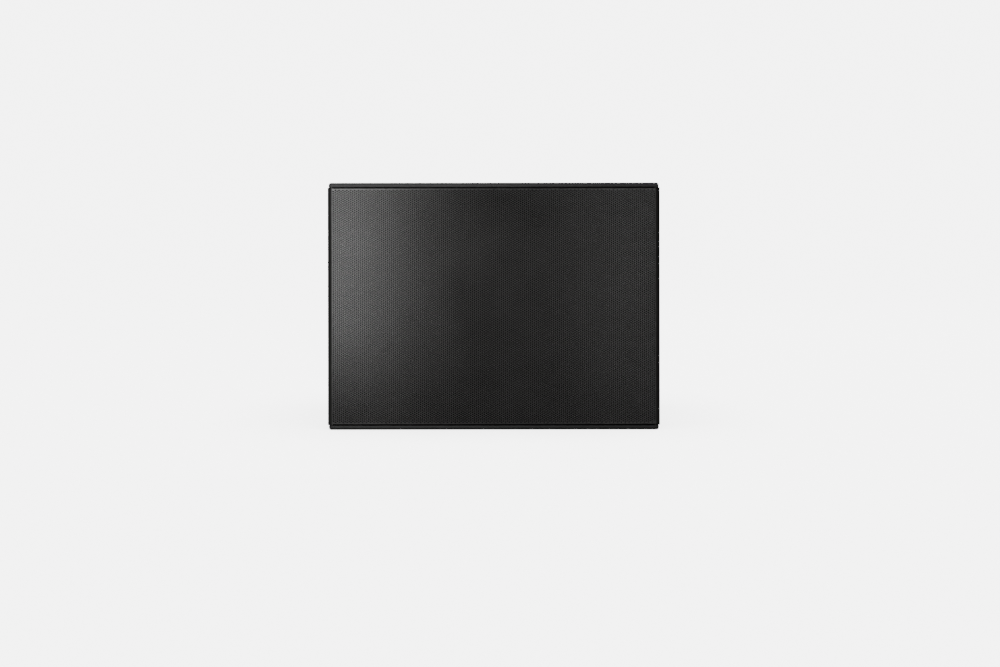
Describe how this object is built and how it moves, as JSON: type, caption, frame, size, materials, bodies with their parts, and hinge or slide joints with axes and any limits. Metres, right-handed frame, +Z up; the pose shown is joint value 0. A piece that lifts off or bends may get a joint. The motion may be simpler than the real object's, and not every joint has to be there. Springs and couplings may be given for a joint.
{
  "type": "line array loudspeaker",
  "caption": "Wedge-shaped two-way line array loudspeaker with a full-face perforated grille, side handles and built-in rigging links.",
  "frame": {"origin": "on the floor, under the middle of the standing cabinet's bounding box", "axes": "+X to the right seen from the front, +Y to the rear, +Z up, square to the bottom panel it stands on"},
  "size_m": [0.596, 0.473, 0.4415],
  "materials": {
    "textured_black_paint": "birch plywood with a coarse black sprayed polyurea coat",
    "black_plywood": "birch plywood stained black",
    "grille_steel": "1.5 mm perforated steel, satin black powder coat",
    "foam": "open-cell reticulated foam",
    "wadding": "polyester wadding",
    "black_screws": "black zinc",
    "cast_aluminium": "die-cast, painted black",
    "motor_steel": "zinc plated, turned",
    "ferrite": "sintered, dull",
    "cone_paper": "pressed pulp, coated",
    "surround_rubber": "treated cloth and rubber",
    "spider_cloth": "resin-treated cotton",
    "coil_metal": "aluminium former and foil",
    "moulded_plastic": "fine-grained moulding",
    "duct_aluminium": "die-cast, blasted",
    "board": "printed circuit board",
    "copper_coils": "enamelled copper wire",
    "capacitor_film": "wrapped film",
    "wire_jacket": "soft jacket",
    "dish_steel": "pressed steel, black powder coat",
    "rigging_steel": "welded steel, black powder coat",
    "link_steel": "laser-cut steel, dark zinc",
    "pin_steel": "stainless, turned",
    "handle_steel": "bent bar, black powder coat",
    "grip_rubber": "matt sleeve"
  },
  "bodies": {
    "cabinet": {"bottom_panel": "textured_black_paint", "connector_dish": "dish_steel", "crossover_board": "board", "crossover_capacitors": "capacitor_film", "crossover_coils": "copper_coils", "crossover_spacers": "moulded_plastic", "dish_screws": "black_screws", "driver_screws": "black_screws", "front_baffle": "black_plywood", "front_channel_left": "rigging_steel", "front_channel_right": "rigging_steel", "front_grille": "grille_steel", "grille_foam": "foam", "grille_screws": "black_screws", "hand_pocket_left": "moulded_plastic", "hand_pocket_right": "moulded_plastic", "handle_bar_left": "handle_steel", "handle_bar_right": "handle_steel", "handle_grip_left": "grip_rubber", "handle_grip_right": "grip_rubber", "horn": "moulded_plastic", "inner_brace": "black_plywood", "inner_wiring": "wire_jacket", "link_bolts": "pin_steel", "pole_screws": "black_screws", "pole_socket": "duct_aluminium", "port_tubes": "moulded_plastic", "rear_channel_left": "rigging_steel", "rear_channel_right": "rigging_steel", "rear_panel": "textured_black_paint", "side_panel_left": "textured_black_paint", "side_panel_right": "textured_black_paint", "side_screws": "black_screws", "speaker_socket_in": "moulded_plastic", "speaker_socket_link": "moulded_plastic", "throat_manifold": "duct_aluminium", "top_panel": "textured_black_paint", "tweeter_cover": "motor_steel", "tweeter_front_plate": "motor_steel", "tweeter_magnet": "ferrite", "wadding_rear": "wadding", "wadding_top": "wadding", "woofer_back_plate": "motor_steel", "woofer_frame": "cast_aluminium", "woofer_magnet": "ferrite", "woofer_spider": "spider_cloth", "woofer_surround": "surround_rubber", "woofer_top_plate": "motor_steel"},
    "woofer_moving_parts": {"woofer_cone": "cone_paper", "woofer_dust_cap": "cone_paper", "woofer_voice_coil": "coil_metal"},
    "tweeter_diaphragm_body": {"tweeter_diaphragm": "coil_metal"},
    "front_link_left_body": {"front_link_left": "link_steel"},
    "rear_link_left_body": {"rear_link_left": "link_steel"},
    "front_pin_left_body": {"front_pin_left": "pin_steel"},
    "rear_pin_left_body": {"rear_pin_left": "pin_steel"},
    "front_link_right_body": {"front_link_right": "link_steel"},
    "rear_link_right_body": {"rear_link_right": "link_steel"},
    "front_pin_right_body": {"front_pin_right": "pin_steel"},
    "rear_pin_right_body": {"rear_pin_right": "pin_steel"}
  },
  "joints": [
    {"name": "woofer_cone_travel", "type": "slide", "parent": "cabinet", "child": "woofer_moving_parts", "axis": [0, -0.9962, 0.0872], "range_m": [-0.006, 0.006], "stiffness_N_per_m": 5000, "deforming": ["woofer_surround", "woofer_spider"]},
    {"name": "tweeter_diaphragm_travel", "type": "slide", "parent": "cabinet", "child": "tweeter_diaphragm_body", "axis": [0, -0.9962, 0.0872], "range_m": [-0.0003, 0.0003], "stiffness_N_per_m": 20000},
    {"name": "front_link_left_slide", "type": "slide", "parent": "cabinet", "child": "front_link_left_body", "axis": [0, 0.0872, 0.9962], "range_m": [0, 0.09]},
    {"name": "rear_link_left_swing", "type": "hinge", "parent": "cabinet", "child": "rear_link_left_body", "pos_m": [-0.278, 0.19117, 0.32593], "axis": [1, 0, 0], "range_deg": [-5, 175]},
    {"name": "front_pin_left_pull", "type": "slide", "parent": "cabinet", "child": "front_pin_left_body", "axis": [-1, 0, 0], "range_m": [0, 0.022]},
    {"name": "rear_pin_left_pull", "type": "slide", "parent": "cabinet", "child": "rear_pin_left_body", "axis": [-1, 0, 0], "range_m": [0, 0.022]},
    {"name": "front_link_right_slide", "type": "slide", "parent": "cabinet", "child": "front_link_right_body", "axis": [0, 0.0872, 0.9962], "range_m": [0, 0.09]},
    {"name": "rear_link_right_swing", "type": "hinge", "parent": "cabinet", "child": "rear_link_right_body", "pos_m": [0.278, 0.19117, 0.32593], "axis": [1, 0, 0], "range_deg": [-5, 175]},
    {"name": "front_pin_right_pull", "type": "slide", "parent": "cabinet", "child": "front_pin_right_body", "axis": [1, 0, 0], "range_m": [0, 0.022]},
    {"name": "rear_pin_right_pull", "type": "slide", "parent": "cabinet", "child": "rear_pin_right_body", "axis": [1, 0, 0], "range_m": [0, 0.022]}
  ]
}
